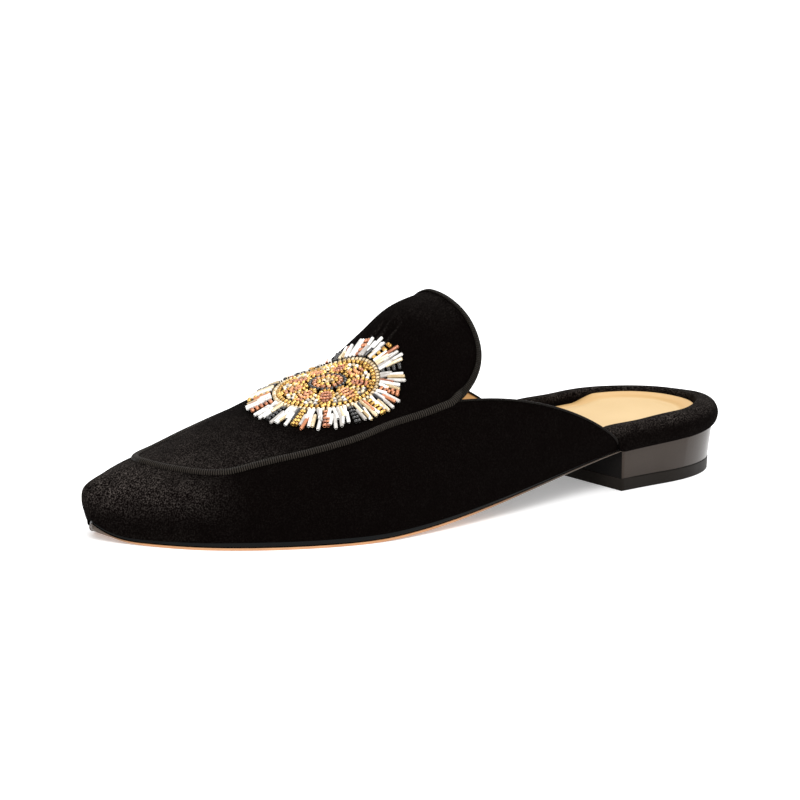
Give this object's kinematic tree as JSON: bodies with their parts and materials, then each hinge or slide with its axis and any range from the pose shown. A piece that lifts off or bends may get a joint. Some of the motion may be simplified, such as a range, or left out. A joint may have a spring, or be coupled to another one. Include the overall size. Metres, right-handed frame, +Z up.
{
  "type": "backless velvet slipper mule",
  "caption": "Left slipper mule: hollow velvet upper with a raised tongue, ribbed strip, bound edges and beaded panel, on a thin sole with a low block heel and rolled heel rim.",
  "frame": {"origin": "centre of the shoe's bounding box seen from above, on the floor plane under heel and forefoot", "axes": "+X from the back of the heel to the toe, +Y to the lateral (outer) side of this left shoe, +Z up"},
  "size_m": [0.241, 0.0834, 0.0685],
  "materials": {
    "outsole_leather": "smooth tan leather",
    "edge_finish": "black polished edge ink",
    "lift_rubber": "matt black rubber",
    "heel_finish": "black polished stacked heel",
    "velvet": "short-pile black velvet",
    "insole_leather": "light tan soft leather",
    "rim_velvet": "short-pile black velvet, padded",
    "ribbed_tape": "ribbed black-brown tape",
    "edge_binding": "fine black binding",
    "beadwork": "gold, crystal, copper and black glass beads"
  },
  "bodies": {
    "root": {"outsole": "outsole_leather", "sole_edge": "edge_finish", "top_lift": "lift_rubber", "heel_block": "heel_finish", "upper": "velvet", "insole": "insole_leather", "heel_rim": "rim_velvet", "apron_strip": "ribbed_tape", "tongue_binding": "ribbed_tape", "quarter_binding_lateral": "edge_binding", "quarter_binding_medial": "edge_binding", "bead_panel": "beadwork"}
  },
  "joints": []
}
